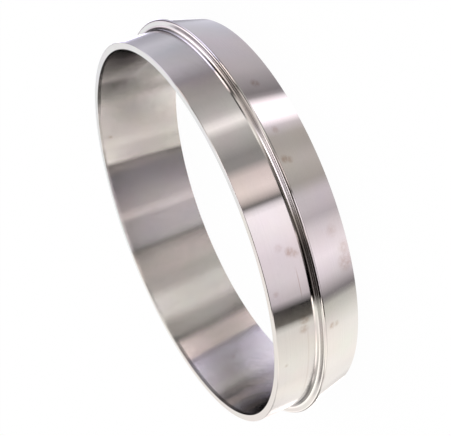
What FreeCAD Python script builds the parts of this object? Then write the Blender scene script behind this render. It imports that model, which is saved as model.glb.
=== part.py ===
import FreeCAD, Part
import math
import os
import Sketcher

# Driving dimensions: lengths in millimetres, angles in degrees
SIZES = (
    ("tube_diameter", 114.3, "outside of the straight end that is welded to the tube"),
    ("tube_wall", 2.0, "wall at the weld end"),
    ("tube_length", 12.4, "weld end to the front face of the collar"),
    ("seat_depth", 1.1, "straight bore behind the weld end"),
    ("bore_taper", 10.0, "slope of the narrowing bore against the axis"),
    ("collar_height", 2.6, "crest of the collar above the tube"),
    ("collar_thickness", 0.95, "front face to back face of the collar"),
    ("collar_step", 0.38, "crest of the collar above the wide end of the cone"),
    ("cone_length", 11.45, "back face of the collar to the cone end"),
    ("cone_angle", 15.0, "slope of the sealing cone against the axis"),
    ("root_radius", 1.25, "fillet between the tube and the collar"),
    ("crest_radius", 0.6, "rounding of the collar's front edge"),
    ("back_edge_break", 0.12, "chamfer on the collar's back edge"),
    ("weld_edge_break", 0.2, "chamfer on the outer edge of the weld end"),
)
RIGHT_ANGLE = 90
FULL_TURN = 360
EDGE_MATCH = 0.0001

# The sketcher's numbers for its axes and for the points of a line
HORIZONTAL_AXIS = -1
ORIGIN = (-1, 1)
START, END = 1, 2


def make_sheet(doc):
    sheet = doc.addObject("Spreadsheet::Sheet", "sizes")
    for row, (alias, value, note) in enumerate(SIZES, start=1):
        sheet.set(f"A{row}", alias)
        sheet.set(f"B{row}", str(value))
        sheet.setAlias(f"B{row}", alias)
        sheet.set(f"C{row}", note)
    doc.recompute()
    return sheet


# Corners of the half section as (radius, height): up the outside from the cone end, then down the bore
def section_corners(sheet):
    tube = sheet.tube_diameter / 2
    seat = tube - sheet.tube_wall
    crest = tube + sheet.collar_height
    cone_top = crest - sheet.collar_step
    cone_end = cone_top - sheet.cone_length * math.tan(math.radians(sheet.cone_angle))
    front = sheet.cone_length + sheet.collar_thickness
    weld_end = front + sheet.tube_length
    seat_foot = weld_end - sheet.seat_depth
    bore_end = seat - seat_foot * math.tan(math.radians(sheet.bore_taper))
    return {
        "cone_end": (cone_end, 0),
        "cone_top": (cone_top, sheet.cone_length),
        "collar_back": (crest, sheet.cone_length),
        "collar_front": (crest, front),
        "tube_foot": (tube, front),
        "tube_top": (tube, weld_end),
        "seat_top": (seat, weld_end),
        "seat_foot": (seat, seat_foot),
        "bore_end": (bore_end, 0),
    }


# Closed half section in the upright plane through the axis, fully constrained from the sheet
def draw_section(body, corners):
    sketch = body.newObject("Sketcher::SketchObject", "section")
    plane = next(part for part in body.Origin.OriginFeatures if part.Role == "XZ_Plane")
    sketch.AttachmentSupport = [(plane, "")]
    sketch.MapMode = "FlatFace"

    # Each line is named by the corner that it starts at
    line = {name: number for number, name in enumerate(corners)}
    points = [FreeCAD.Vector(radius, height, 0) for radius, height in corners.values()]
    for point, following in zip(points, points[1:] + points[:1]):
        sketch.addGeometry(Part.LineSegment(point, following))
    for number in range(len(points)):
        following = (number + 1) % len(points)
        sketch.addConstraint(Sketcher.Constraint("Coincident", number, END, following, START))

    for name in ("cone_top", "collar_front", "tube_top", "bore_end"):
        sketch.addConstraint(Sketcher.Constraint("Horizontal", line[name]))
    for name in ("collar_back", "tube_foot", "seat_top"):
        sketch.addConstraint(Sketcher.Constraint("Vertical", line[name]))
    sketch.addConstraint(Sketcher.Constraint("PointOnObject", line["cone_end"], START, HORIZONTAL_AXIS))

    def bind(name, constraint, expression):
        sketch.renameConstraint(sketch.addConstraint(constraint), name)
        sketch.setExpression(f"Constraints.{name}", expression)

    def across(first, second):
        return Sketcher.Constraint("DistanceX", line[first], START, line[second], START,
                                   corners[second][0] - corners[first][0])

    def along(first, second):
        return Sketcher.Constraint("DistanceY", line[first], START, line[second], START,
                                   corners[second][1] - corners[first][1])

    def slope(name, angle):
        return Sketcher.Constraint("Angle", line[name], math.radians(angle))

    tube_radius = Sketcher.Constraint("DistanceX", *ORIGIN, line["tube_top"], START, corners["tube_top"][0])
    bind("tube_radius", tube_radius, "sizes.tube_diameter / 2")
    bind("tube_wall", across("seat_top", "tube_top"), "sizes.tube_wall")
    bind("tube_length", along("tube_foot", "tube_top"), "sizes.tube_length")
    bind("seat_depth", along("seat_foot", "seat_top"), "sizes.seat_depth")
    bind("collar_height", across("tube_foot", "collar_front"), "sizes.collar_height")
    bind("collar_thickness", along("collar_back", "collar_front"), "sizes.collar_thickness")
    bind("collar_step", across("cone_top", "collar_back"), "sizes.collar_step")
    bind("cone_length", along("cone_end", "cone_top"), "sizes.cone_length")

    # The outside leans in towards the cone end, and the bore is drawn downwards
    sheet = body.Document.sizes
    bind("cone_slope", slope("cone_end", RIGHT_ANGLE - sheet.cone_angle),
         f"({RIGHT_ANGLE} - sizes.cone_angle) * 1 deg")
    bind("bore_slope", slope("seat_foot", -RIGHT_ANGLE - sheet.bore_taper),
         f"(-{RIGHT_ANGLE} - sizes.bore_taper) * 1 deg")
    return sketch


def turn(body, sketch):
    ring = body.newObject("PartDesign::Revolution", "turned_ring")
    ring.Profile = sketch
    ring.ReferenceAxis = (sketch, ["V_Axis"])
    ring.Angle = FULL_TURN
    return ring


# Full circle of the shape at this corner of the section
def edge_at(feature, corner):
    radius, height = corner
    for number, edge in enumerate(feature.Shape.Edges, start=1):
        curve = edge.Curve
        if not isinstance(curve, Part.Circle):
            continue
        if abs(curve.Radius - radius) < EDGE_MATCH and abs(curve.Center.z - height) < EDGE_MATCH:
            return f"Edge{number}"
    raise RuntimeError(f"{feature.Label} has no edge at radius {radius}, height {height}")


# Rounds or breaks the edge at one corner, on top of the body's last feature
def dress(body, kind, name, corners, at, size, expression):
    body.Document.recompute()
    before = body.Tip
    feature = body.newObject(f"PartDesign::{kind}", name)
    feature.Base = (before, [edge_at(before, corners[at])])
    feature.setExpression(size, expression)
    return feature


def make_ring(doc, sheet):
    body = doc.addObject("PartDesign::Body", "cone_weld_fitting")
    body.Label = "cone_weld_fitting"
    corners = section_corners(sheet)
    turn(body, draw_section(body, corners))
    dress(body, "Fillet", "collar_root", corners, "tube_foot", "Radius", "sizes.root_radius")
    dress(body, "Fillet", "collar_crest", corners, "collar_front", "Radius", "sizes.crest_radius")
    dress(body, "Chamfer", "collar_back", corners, "collar_back", "Size", "sizes.back_edge_break")
    dress(body, "Chamfer", "weld_edge", corners, "tube_top", "Size", "sizes.weld_edge_break")
    return body


def check(doc, bodies):
    for item in doc.Objects:
        if {"Invalid", "Error"} & set(item.State):
            raise RuntimeError(f"{item.Label} did not rebuild: {item.State}")
    for body in bodies:
        if body.Shape.isNull() or not body.Shape.isValid():
            raise RuntimeError(f"{body.Label} has no valid shape")
        if len(body.Shape.Solids) != 1:
            raise RuntimeError(f"{body.Label} is not one solid")


doc = FreeCAD.newDocument("fitting")
sheet = make_sheet(doc)
bodies = [make_ring(doc, sheet)]
doc.recompute()
check(doc, bodies)

os.makedirs("parts", exist_ok=True)
for body in bodies:
    body.Shape.exportStep(f"parts/{body.Label}.step")
    print(f"{body.Label}: {body.Shape.Volume:.0f} mm3, {len(body.Shape.Faces)} faces")
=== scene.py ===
import bpy
import bmesh
from math import atan2, cos, degrees, pi, radians, sin, tan
from mathutils import Matrix, Vector


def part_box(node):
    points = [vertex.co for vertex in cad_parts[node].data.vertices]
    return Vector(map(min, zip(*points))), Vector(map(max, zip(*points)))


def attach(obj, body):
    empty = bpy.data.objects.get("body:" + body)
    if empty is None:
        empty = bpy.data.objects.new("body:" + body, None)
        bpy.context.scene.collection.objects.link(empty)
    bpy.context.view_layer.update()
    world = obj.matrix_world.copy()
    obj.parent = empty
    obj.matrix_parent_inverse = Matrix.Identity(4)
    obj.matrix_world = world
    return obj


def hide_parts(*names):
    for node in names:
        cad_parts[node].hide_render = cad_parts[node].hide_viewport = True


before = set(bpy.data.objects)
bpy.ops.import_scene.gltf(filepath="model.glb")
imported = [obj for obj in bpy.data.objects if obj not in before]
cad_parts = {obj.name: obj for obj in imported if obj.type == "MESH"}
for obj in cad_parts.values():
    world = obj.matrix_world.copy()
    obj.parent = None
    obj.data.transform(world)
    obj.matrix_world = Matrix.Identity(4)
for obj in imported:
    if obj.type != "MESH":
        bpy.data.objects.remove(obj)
scene = bpy.context.scene
mm = 0.001
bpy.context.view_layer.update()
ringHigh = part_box("cone_weld_fitting")[1]
print("frame loaded")

# camera

shot = {
    "place": (-0.3 * mm, -376.7 * mm, 139.3 * mm),
    "lens": 110.0,
    "sensor": 36.0,
    "downTilt": 18.97,  # degrees below level
    "roll": -111.19,  # the ring's axis points left and a little down in the picture
}


def makeCamera(settings):
    data = bpy.data.cameras.new("camera")
    data.lens = settings["lens"]
    data.sensor_width = settings["sensor"]
    camera = bpy.data.objects.new("camera", data)
    scene.collection.objects.link(camera)
    tilt = Matrix.Rotation(radians(90 - settings["downTilt"]), 4, "X")
    roll = Matrix.Rotation(radians(settings["roll"]), 4, "Z")
    camera.matrix_world = Matrix.Translation(settings["place"]) @ tilt @ roll
    scene.camera = camera


makeCamera(shot)
towardsCamera = Vector(shot["place"]).normalized()
print("camera placed")

# the turned ring

ringSizes = {
    "wall": 2.0 * mm,
    "collarRise": 2.6 * mm,
    "collarThick": 0.95 * mm,
    "collarStep": 0.38 * mm,
    "coneLength": 11.45 * mm,
    "coneAngle": 15,
    "boreTaper": 10,
    "seatDepth": 1.1 * mm,
    # roundings and broken edges: size, segments
    "edges": {
        "tubeFoot": (1.25 * mm, 12),
        "collarFront": (0.6 * mm, 8),
        "collarBack": (0.12 * mm, 1),
        "weldOuter": (0.2 * mm, 3),
        "weldInner": (0.06 * mm, 2),
        "coneEnd": (0.06 * mm, 2),
        "boreEnd": (0.06 * mm, 2),
    },
    "steps": 480,
    "smoothAngle": 25,
    "mergeGap": 0.001 * mm,
    "pickSlack": 0.004 * mm,
}


# radius and height of the section's corners: up the outside from the cone end, then down the bore
def ringCorners(sizes):
    crest = ringHigh.x
    tube = crest - sizes["collarRise"]
    seat = tube - sizes["wall"]
    coneTop = crest - sizes["collarStep"]
    coneEnd = coneTop - sizes["coneLength"] * tan(radians(sizes["coneAngle"]))
    weldEnd = ringHigh.z
    front = sizes["coneLength"] + sizes["collarThick"]
    seatFoot = weldEnd - sizes["seatDepth"]
    boreEnd = seat - seatFoot * tan(radians(sizes["boreTaper"]))
    return {
        "coneEnd": (coneEnd, 0),
        "coneTop": (coneTop, sizes["coneLength"]),
        "collarBack": (crest, sizes["coneLength"]),
        "collarFront": (crest, front),
        "tubeFoot": (tube, front),
        "weldOuter": (tube, weldEnd),
        "weldInner": (seat, weldEnd),
        "seatFoot": (seat, seatFoot),
        "boreEnd": (boreEnd, 0),
    }


def pickCircle(thing, corner, slack):
    radius, height = corner
    bpy.ops.mesh.select_all(action="DESELECT")
    mesh = bmesh.from_edit_mesh(thing.data)
    for edge in mesh.edges:
        ends = [end.co for end in edge.verts]
        across = all(abs(end.xy.length - radius) < slack for end in ends)
        along = all(abs(end.z - height) < slack for end in ends)
        edge.select = across and along
    mesh.select_flush_mode()
    bmesh.update_edit_mesh(thing.data)


def makeRing(sizes):
    corners = ringCorners(sizes)
    bpy.ops.object.select_all(action="DESELECT")
    bpy.ops.mesh.primitive_plane_add(size=mm)
    ring = bpy.context.active_object
    ring.name = ring.data.name = "turnedRing"

    # the section is drawn from corner to corner, starting with one point
    bpy.ops.object.mode_set(mode="EDIT")
    bpy.ops.mesh.select_mode(type="VERT")
    bpy.ops.mesh.select_all(action="SELECT")
    bpy.ops.mesh.merge(type="CENTER")
    points = [Vector((radius, 0, height)) for radius, height in corners.values()]
    bpy.ops.transform.translate(value=points[0])
    for here, there in zip(points, points[1:] + points[:1]):
        bpy.ops.mesh.extrude_region_move(TRANSFORM_OT_translate={"value": there - here})
    bpy.ops.mesh.select_all(action="SELECT")
    bpy.ops.mesh.remove_doubles(threshold=sizes["mergeGap"])
    bpy.ops.mesh.select_all(action="SELECT")
    bpy.ops.mesh.spin(steps=sizes["steps"], angle=2 * pi, center=(0, 0, 0), axis=(0, 0, 1))
    bpy.ops.mesh.select_all(action="SELECT")
    bpy.ops.mesh.remove_doubles(threshold=sizes["mergeGap"])
    bpy.ops.mesh.normals_make_consistent(inside=False)

    bpy.ops.mesh.select_mode(type="EDGE")
    for corner, (size, segments) in sizes["edges"].items():
        pickCircle(ring, corners[corner], sizes["pickSlack"])
        bpy.ops.mesh.bevel(offset=size, segments=segments, profile=0.5, affect="EDGES")
    bpy.ops.object.mode_set(mode="OBJECT")
    bpy.ops.object.shade_smooth_by_angle(angle=radians(sizes["smoothAngle"]))
    weighted = ring.modifiers.new("weighted", "WEIGHTED_NORMAL")
    weighted.keep_sharp = True
    bpy.ops.object.modifier_apply(modifier=weighted.name)
    return ring


ring = makeRing(ringSizes)
print("ring turned:", len(ring.data.polygons), "faces")

# node helpers

mixFirst, mixSecond, mixResult = 6, 7, 2  # the colour sockets of a mix node


def newMaterial(name):
    material = bpy.data.materials.new(name)
    material.use_nodes = True
    return material, material.node_tree


def feed(tree, socket, value):
    if isinstance(value, bpy.types.NodeSocket):
        tree.links.new(value, socket)
    elif value is not None:
        socket.default_value = value


def mathNode(tree, kind, first, second=None):
    node = tree.nodes.new("ShaderNodeMath")
    node.operation = kind
    feed(tree, node.inputs[0], first)
    feed(tree, node.inputs[1], second)
    return node.outputs[0]


def vectorNode(tree, kind, first, second=None):
    node = tree.nodes.new("ShaderNodeVectorMath")
    node.operation = kind
    feed(tree, node.inputs[0], first)
    feed(tree, node.inputs["Scale" if kind == "SCALE" else 1], second)
    return node.outputs["Value" if kind in ("LENGTH", "DISTANCE", "DOT_PRODUCT") else "Vector"]


def rangeNode(tree, value, low, high, toLow=0.0, toHigh=1.0, smooth=False):
    node = tree.nodes.new("ShaderNodeMapRange")
    if smooth:
        node.interpolation_type = "SMOOTHSTEP"
    feed(tree, node.inputs["Value"], value)
    for name, number in (("From Min", low), ("From Max", high), ("To Min", toLow), ("To Max", toHigh)):
        node.inputs[name].default_value = number
    return node.outputs[0]


def mixNode(tree, share, first, second, kind="MIX"):
    node = tree.nodes.new("ShaderNodeMix")
    node.data_type = "RGBA"
    node.blend_type = kind
    feed(tree, node.inputs["Factor"], share)
    feed(tree, node.inputs[mixFirst], first)
    feed(tree, node.inputs[mixSecond], second)
    return node.outputs[mixResult]


def noiseNode(tree, place, size, detail, kind="3D"):
    node = tree.nodes.new("ShaderNodeTexNoise")
    node.noise_dimensions = kind
    feed(tree, node.inputs["W" if kind == "1D" else "Vector"], place)
    node.inputs["Scale"].default_value = 1 / size
    node.inputs["Detail"].default_value = detail
    return node


# a vector's own parts, and its length without the upright one
def splitNode(tree, vector):
    parts = tree.nodes.new("ShaderNodeSeparateXYZ")
    feed(tree, parts.inputs[0], vector)
    level = vectorNode(tree, "LENGTH", vectorNode(tree, "MULTIPLY", vector, (1, 1, 0)))
    return parts.outputs["X"], parts.outputs["Y"], parts.outputs["Z"], level


# steel

steel = {
    "colour": (0.68, 0.67, 0.66),
    "edgeTint": (0.72, 0.72, 0.74, 1),
    "anisotropy": 1.0,
    "streakTurn": 0.25,  # a quarter turn, so that reflections are drawn out along the axis
    "roughness": 0.1,
    "boreRoughness": 0.11,
    # what lies nearer to the axis than this has the bore's finish
    "boreReach": 55.5 * mm,
    "boreFade": 0.1 * mm,
    # the grooves tilt the surface, more so in the bore, which is cut more coarsely
    "grooveTilt": 0.06,
    "boreTilt": 0.24,
    # size and detail of each pattern, and how much it shades the steel
    "groove": (0.4 * mm, 2),
    "grooveDepth": 0.06,
    "cloud": (7 * mm, 4),
    "cloudDepth": 0.09,
    "film": (11 * mm, 3),
    "filmDepth": 0.09,
    # painted shade: the straight seat is darkened outside these angles: from angle, to angle, fade
    "seatUnshadedAngles": (38, 122, 6),
    # how dark the painted shade leaves the seat, and how wide its edges are
    "seatPaintedShadeLevel": 0.52,
    "seatPaintedShadeEdge": 0.1 * mm,
    # stains are patchy: where the pattern starts and is full, and the least that is left
    "stain": (0.62, 0.50, 0.42),
    "patch": (0.9 * mm, 3),
    "patchRange": (0.3, 0.6),
    "patchLeast": 0.3,
    # spots on the outside have ring angles above 180: ring angle, height, size, strength
    "spots": (
        (233.4, 16.6, 2.0, 0.5), (236.3, 16.1, 2.2, 0.6), (255.9, 16.4, 1.8, 0.7), (255.0, 15.0, 1.6, 0.5),
        (257.8, 19.0, 1.6, 0.25), (246.5, 22.7, 1.2, 0.3), (223.0, 22.3, 0.8, 0.3), (232.2, 9.3, 1.5, 0.6),
        (232.0, 7.8, 1.3, 0.5), (247.7, 1.9, 3.6, 0.5), (251.5, 1.4, 2.8, 0.4), (257.0, 4.0, 2.4, 0.3),
        (277.9, 9.8, 1.6, 0.7), (277.4, 8.4, 1.4, 0.5), (285.7, 8.4, 1.5, 0.4), (300.1, 6.5, 1.8, 0.65),
        (48.3, 21.6, 0.6, 1.0), (141.0, 12.4, 0.7, 0.8),
    ),
    "spotCore": 0.2,  # share of the size at which a spot is at its darkest
    # darker rings round the tube near the collar: from angle, to angle, height, width, strength
    "darkRings": ((242.0, 252.0, 15.9, 0.22, 0.5), (198.0, 236.0, 15.6, 0.45, 0.16)),
    "darkRingFade": 3,
}


def ringPoint(ringAngle, radius, height=0):
    turn = radians(ringAngle)
    return Vector((radius * cos(turn), radius * sin(turn), height))


# the place of a spot, in the bore or on the outside
def surfacePlace(ringAngle, height):
    corners = ringCorners(ringSizes)
    radius, top = corners["tubeFoot"]
    slope = 0
    if ringAngle < 180:
        radius, top = corners["seatFoot"]
        slope = ringSizes["boreTaper"]
    elif height <= top:
        radius, top = corners["coneTop"]
        slope = ringSizes["coneAngle"]
    return ringPoint(ringAngle, radius - (top - height) * tan(radians(slope)), height)


def steelPlaces(tree):
    place = tree.nodes.new("ShaderNodeTexCoord").outputs["Object"]
    x, y, height, radius = splitNode(tree, place)
    angle = mathNode(tree, "DEGREES", mathNode(tree, "ARCTAN2", y, x))
    return {"place": place, "height": height, "radius": radius, "angle": angle}


def boreOrOutside(tree, settings, at, bore, outside):
    reach = settings["boreReach"]
    return rangeNode(tree, at["radius"], reach - settings["boreFade"], reach, bore, outside)


# painted shade: the seat's colour is darkened at the ring's two sides, outside the given angles
def seatPaintedShade(tree, settings, at):
    start, stop, fade = settings["seatUnshadedAngles"]
    radius, height = ringCorners(ringSizes)["seatFoot"]
    edge = settings["seatPaintedShadeEdge"]
    left = rangeNode(tree, at["angle"], start, start - fade)
    right = rangeNode(tree, at["angle"], stop, stop + fade)
    above = rangeNode(tree, at["height"], height - edge / 2, height + edge / 2)
    within = rangeNode(tree, at["radius"], radius + 1.5 * edge, radius + edge / 2)
    paintedShade = mathNode(tree, "MULTIPLY", mathNode(tree, "MAXIMUM", left, right), above)
    paintedShade = mathNode(tree, "MULTIPLY", paintedShade, within)
    return rangeNode(tree, paintedShade, 0, 1, 1, settings["seatPaintedShadeLevel"])


# turning grooves, clouds, a faint coloured film, and painted shade on the seat's two sides
def colourWithSeatShade(tree, settings, at):
    depth = settings["grooveDepth"]
    groove = noiseNode(tree, at["height"], *settings["groove"], "1D").outputs[0]
    groove = rangeNode(tree, groove, 0, 1, -depth / 2, depth / 2)
    depth = settings["cloudDepth"]
    cloud = noiseNode(tree, at["place"], *settings["cloud"]).outputs[0]
    cloud = rangeNode(tree, cloud, 0, 1, 1 - depth / 2, 1 + depth / 2)
    depth = settings["filmDepth"]
    film = noiseNode(tree, at["place"], *settings["film"]).outputs["Color"]
    film = vectorNode(tree, "MULTIPLY", film, (depth, depth, depth))
    film = vectorNode(tree, "ADD", film, (1 - depth / 2, 1 - depth / 2, 1 - depth / 2))
    shade = mathNode(tree, "MULTIPLY", mathNode(tree, "ADD", groove, cloud), seatPaintedShade(tree, settings, at))
    return vectorNode(tree, "SCALE", vectorNode(tree, "MULTIPLY", film, settings["colour"]), shade)


def stainAndRingShare(tree, settings, at):
    darkening = 0
    for ringAngle, height, size, strength in settings["spots"]:
        away = vectorNode(tree, "DISTANCE", at["place"], surfacePlace(ringAngle, height * mm))
        spot = rangeNode(tree, away, size * mm, settings["spotCore"] * size * mm, 0, strength, smooth=True)
        darkening = mathNode(tree, "MAXIMUM", darkening, spot)
    patchy = noiseNode(tree, at["place"], *settings["patch"]).outputs[0]
    patchy = rangeNode(tree, patchy, *settings["patchRange"], settings["patchLeast"])
    darkening = mathNode(tree, "MULTIPLY", darkening, patchy)

    # darker rings round the tube near the collar, added to the stains
    reach, fade = settings["boreReach"], settings["darkRingFade"]
    outside = rangeNode(tree, at["radius"], reach, reach + settings["boreFade"])
    for start, stop, height, width, strength in settings["darkRings"]:
        off = mathNode(tree, "ABSOLUTE", mathNode(tree, "SUBTRACT", at["height"], height * mm))
        line = rangeNode(tree, off, width * mm, 0, 0, strength, smooth=True)
        for end, inner in ((start, start + fade), (stop, stop - fade)):
            # angles on the outside are read as negative
            line = mathNode(tree, "MULTIPLY", line, rangeNode(tree, at["angle"], end - 360, inner - 360))
        darkening = mathNode(tree, "MAXIMUM", darkening, mathNode(tree, "MULTIPLY", line, outside))
    return darkening


# the grooves tilt the surface up and down at random, never sideways
def groovedNormal(tree, settings, at):
    fine = tree.nodes.new("ShaderNodeTexWhiteNoise")
    fine.noise_dimensions = "3D"
    feed(tree, fine.inputs["Vector"], at["place"])
    summed = vectorNode(tree, "DOT_PRODUCT", fine.outputs["Color"], (1, 1, 1))
    swing = mathNode(tree, "SUBTRACT", summed, 1.5)  # the sum's average
    tilt = boreOrOutside(tree, settings, at, settings["boreTilt"], settings["grooveTilt"])
    lean = tree.nodes.new("ShaderNodeCombineXYZ")
    feed(tree, lean.inputs["Z"], mathNode(tree, "MULTIPLY", swing, tilt))
    straight = tree.nodes.new("ShaderNodeNewGeometry").outputs["Normal"]
    return vectorNode(tree, "NORMALIZE", vectorNode(tree, "ADD", straight, lean.outputs[0]))


def makeSteel(settings):
    material, tree = newMaterial("turnedSteel")
    shader = tree.nodes["Principled BSDF"]
    at = steelPlaces(tree)
    shader.inputs["Metallic"].default_value = 1
    shader.inputs["Anisotropic"].default_value = settings["anisotropy"]
    shader.inputs["Anisotropic Rotation"].default_value = settings["streakTurn"]
    shader.inputs["Specular Tint"].default_value = settings["edgeTint"]
    roundAxis = tree.nodes.new("ShaderNodeTangent")
    roundAxis.direction_type = "RADIAL"
    roundAxis.axis = "Z"
    feed(tree, shader.inputs["Tangent"], roundAxis.outputs["Tangent"])
    roughness = boreOrOutside(tree, settings, at, settings["boreRoughness"], settings["roughness"])
    feed(tree, shader.inputs["Roughness"], roughness)
    colour = mixNode(tree, stainAndRingShare(tree, settings, at), colourWithSeatShade(tree, settings, at),
                     (*settings["stain"], 1), "MULTIPLY")
    feed(tree, shader.inputs["Base Color"], colour)
    feed(tree, shader.inputs["Normal"], groovedNormal(tree, settings, at))
    return material


ring.data.materials.clear()
ring.data.materials.append(makeSteel(steel))
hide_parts("cone_weld_fitting")
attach(ring, "root")
print("steel done")

# studio

tints = {
    "white": (1.0, 1.0, 1.0),
    "cream": (1.05, 1.0, 0.94),
    "sand": (1.06, 1.0, 0.97),
    "warm": (1.10, 1.0, 0.95),
    "brown": (1.16, 1.0, 0.88),
    "pink": (1.18, 1.0, 0.96),
    "lilac": (1.11, 1.0, 1.05),
    "violet": (1.08, 1.0, 1.08),
    "cool": (1.02, 1.0, 1.09),
    "blue": (1.06, 1.0, 1.22),
}

tent = {
    "radius": 6.0,
    "subdivisions": 5,
    "seam": 90,  # ring angle at which the cloth starts and ends, behind the ring
    # radius of the surface that mirrors a zone, the tube's where none is given
    "underSeen": 57.8 * mm,
    "coneSeen": 57.8 * mm,
    "tubeSeen": 57.15 * mm,
    "boreSeen": 53.0 * mm,
    # how far the mirroring surface faces up, in degrees, where each zone takes over from the one before
    "blend": {
        "cone": (-32, -25),
        "tube": (-11, -7),
        "bore": (4, 8),
        "top": (18, 25),
        "over": (43, 47),
        "line": (52, 55),
        "crown": (57, 60),
        "face": (66, 72),
    },
    # zones of the cloth: tint, then its brightness by the ring angle of the surface that mirrors it
    "under": (
        ("brown", (186, 2.0), (215, 1.2), (232, 0.6), (240, 0.1), (285, 0.1)),
        ("lilac", (291, 0.5), (300, 0.2), (345, 0.9)),
    ),
    "cone": (
        ("cream", (186, 1.5), (195, 0.95), (200, 1.05), (206, 1.45), (216, 1.42)),
        ("cream", (230, 1.2), (234.5, 0.95), (239, 0.7)),
        ("lilac", (241, 0.22), (244.5, 0.62), (247, 0.9), (252, 1.17), (260, 0.78), (262, 0.58)),
        ("lilac", (265, 0.68), (268, 0.71)),
        ("warm", (271, 0.48), (277, 0.6), (281, 0.5), (284, 0.52)),
        ("lilac", (287, 0.78), (289, 1.75), (294, 1.75), (295.3, 0.48), (297, 0.26), (301, 0.4)),
        ("lilac", (306, 0.57)),
        ("violet", (320, 0.73)),
        ("cool", (330, 0.92), (338, 1.12), (342, 0.86), (352, 1.12)),
    ),
    "tube": (
        ("cream", (184, 0.8), (188, 5.0), (194, 3.4), (200, 1.55), (207, 1.45), (215, 1.2), (235.6, 0.93)),
        ("brown", (237.5, 0.1), (241.5, 0.0)),
        ("lilac", (244, 0.67), (249, 0.9), (257, 0.98), (264, 1.22), (268.2, 1.28)),
        ("warm", (270.1, 0.12)),
        ("pink", (271.8, 0.8), (274, 1.0), (278, 0.79)),
        ("sand", (280, 0.36), (283, 0.32), (289.8, 0.62), (292.3, 1.32), (295, 0.68), (304, 0.35)),
        ("lilac", (308.3, 0.28)),
        ("violet", (316, 0.54)),
        ("cool", (324, 0.58), (331, 0.82), (341, 0.54), (345.5, 0.56), (351, 4.0), (355, 1.0)),
    ),
    "bore": (
        ("warm", (4, 1.3), (14, 0.3), (20, 0.33), (24, 1.15), (28, 0.5), (33, 1.6), (40, 1.7), (48, 0.95)),
        ("warm", (57.3, 2.1), (58.4, 0.0)),
        ("pink", (66, 0.0), (75.5, 0.25), (77.5, 0.85), (79.5, 0.2)),
        ("warm", (90, 0.0), (93, 0.05), (98, 0.25), (105, 0.7)),
        ("cream", (108.5, 1.4), (114, 0.95), (116.5, 0.15), (118.5, 0.0), (124.5, 0.1)),
        ("pink", (127, 1.7), (133, 2.2)),
        ("blue", (134.5, 0.8), (138, 1.9), (152, 1.65), (156, 1.2), (162, 0.8), (170, 1.2), (180, 3.0)),
    ),
    "top": (
        ("violet", (96, 2.6), (128, 2.6), (138, 0.6), (150, 0.6), (164, 1.2)),
        ("cream", (186, 1.0), (194, 0.45), (206, 0.5), (216, 0.7), (230, 1.0), (239, 1.1)),
        ("brown", (241, 0.0), (256, 0.0), (262, 0.08), (272, 0.15), (280, 0.2)),
        ("warm", (287, 0.85), (297, 0.85), (300, 0.1), (309, 0.0), (313, 0.1)),
        ("violet", (317, 0.5), (322, 0.6), (330, 0.5), (338, 0.12), (352, 0.1)),
    ),
    "over": (
        ("cream", (186, 1.6), (202, 1.9), (215, 1.75), (236, 1.25), (239, 0.2)),
        ("brown", (241, 0.12), (256, 0.12), (263, 0.5)),
        ("lilac", (270, 2.2), (284, 2.8), (289, 0.55)),
        ("brown", (292, 0.5), (304, 0.5), (310, 1.5)),
        ("lilac", (316, 2.4), (327, 2.2), (333, 1.6), (338, 0.6), (352, 0.4)),
    ),
    "line": (
        ("cream", (186, 1.8), (215, 1.6), (236, 1.2)),
        ("lilac", (241, 0.35), (255, 0.25), (262, 0.5), (270, 0.7), (284, 1.6), (290, 0.7), (302, 0.7)),
        ("lilac", (310, 1.4), (318, 2.6), (327, 2.4), (335, 1.6)),
    ),
    "crown": (
        ("cream", (186, 1.8), (205, 1.3), (236, 0.7)),
        ("brown", (240, 0.0), (257, 0.0), (264, 0.4), (284, 0.5), (290, 0.25), (310, 0.25)),
        ("violet", (318, 1.4), (335, 1.2), (352, 1.0)),
    ),
    "face": (
        ("cream", (186, 1.3), (260, 1.2)),
        ("white", (300, 1.2), (354, 1.3)),
    ),
}


# the angle at which the cloth is seen in a surface of this radius, allowing for the camera being close
def clothAngle(ringAngle, radius, inside):
    view = Vector(shot["place"]) - ringPoint(ringAngle, radius)
    turn = atan2(view.y, view.x) - atan2(towardsCamera.y, towardsCamera.x)
    return ringAngle + (180 if inside else 0) - degrees(turn) / 2


def clothRamp(tree, settings, zone, share):
    radius = settings.get(zone + "Seen", settings["tubeSeen"])
    ramp = tree.nodes.new("ShaderNodeValToRGB")
    stops = ramp.color_ramp.elements
    stops.remove(stops[0])
    first = True
    for tint, *levels in settings[zone]:
        for ringAngle, level in levels:
            place = (clothAngle(ringAngle, radius, zone == "bore") - settings["seam"]) / 360
            stop = stops[0] if first else stops.new(place)
            stop.position = place
            stop.color = [level * part for part in tints[tint]] + [1]
            first = False
    feed(tree, ramp.inputs["Fac"], share)
    return ramp.outputs["Color"]


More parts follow.
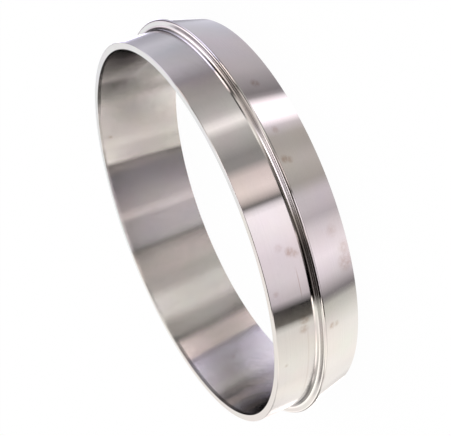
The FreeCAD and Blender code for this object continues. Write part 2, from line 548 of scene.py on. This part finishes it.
def makeTent(settings):
    bpy.ops.object.select_all(action="DESELECT")
    bpy.ops.mesh.primitive_ico_sphere_add(subdivisions=settings["subdivisions"], radius=settings["radius"])
    cloth = bpy.context.active_object
    cloth.name = "lightTent"
    material, tree = newMaterial("tentCloth")
    tree.nodes.clear()

    # halfway between the cloth and the camera's place is where the mirroring surface faces
    place = tree.nodes.new("ShaderNodeTexCoord").outputs["Object"]
    half = vectorNode(tree, "ADD", vectorNode(tree, "NORMALIZE", place), towardsCamera)
    x, y, up, level = splitNode(tree, half)
    turns = mathNode(tree, "DIVIDE", mathNode(tree, "ARCTAN2", y, x), 2 * pi)
    share = mathNode(tree, "FRACT", mathNode(tree, "SUBTRACT", turns, settings["seam"] / 360))
    facing = mathNode(tree, "DEGREES", mathNode(tree, "ARCTAN2", up, level))

    colour = clothRamp(tree, settings, "under", share)
    for zone, (low, high) in settings["blend"].items():
        takeOver = rangeNode(tree, facing, low, high, smooth=True)
        colour = mixNode(tree, takeOver, colour, clothRamp(tree, settings, zone, share))
    glow = tree.nodes.new("ShaderNodeEmission")
    feed(tree, glow.inputs["Color"], colour)
    output = tree.nodes.new("ShaderNodeOutputMaterial")
    feed(tree, output.inputs["Surface"], glow.outputs[0])
    material.cycles.emission_sampling = "NONE"
    cloth.data.materials.append(material)
    cloth.visible_camera = cloth.visible_shadow = False
    cloth.visible_diffuse = cloth.visible_transmission = False


floorSizes = {
    "radius": 3,
    "sides": 96,
    "drop": 0.02 * mm,
    "whiteShare": 0.97,  # the rest keeps the ring's shadow
}


def makeFloor(settings):
    bpy.ops.object.select_all(action="DESELECT")
    bpy.ops.mesh.primitive_circle_add(vertices=settings["sides"], radius=settings["radius"],
                                      fill_type="NGON", location=(0, 0, -settings["drop"]))
    floor = bpy.context.active_object
    floor.name = "floor"
    material, tree = newMaterial("paleFloor")
    shader = tree.nodes["Principled BSDF"]
    shader.inputs["Base Color"].default_value = (1, 1, 1, 1)
    shader.inputs["Roughness"].default_value = 1
    shader.inputs["Specular IOR Level"].default_value = 0
    white = tree.nodes.new("ShaderNodeEmission")
    path = tree.nodes.new("ShaderNodeLightPath").outputs
    seen = mathNode(tree, "MAXIMUM", path["Is Camera Ray"], path["Is Glossy Ray"])
    seen = mathNode(tree, "MAXIMUM", seen, path["Is Transmission Ray"])
    mix = tree.nodes.new("ShaderNodeMixShader")
    feed(tree, mix.inputs["Fac"], mathNode(tree, "MULTIPLY", seen, settings["whiteShare"]))
    feed(tree, mix.inputs[1], shader.outputs[0])
    feed(tree, mix.inputs[2], white.outputs[0])
    feed(tree, tree.nodes["Material Output"].inputs["Surface"], mix.outputs[0])
    floor.data.materials.append(material)
    floor.visible_glossy = False


def makeWorld():
    world = bpy.data.worlds.new("studio")
    world.use_nodes = True
    back = world.node_tree.nodes["Background"]
    back.inputs["Color"].default_value = (1, 1, 1, 1)
    back.inputs["Strength"].default_value = 1
    world.cycles.sampling_method = "NONE"
    scene.world = world


makeTent(tent)
makeFloor(floorSizes)
makeWorld()
scene.view_settings.view_transform = "Standard"
print("studio set")
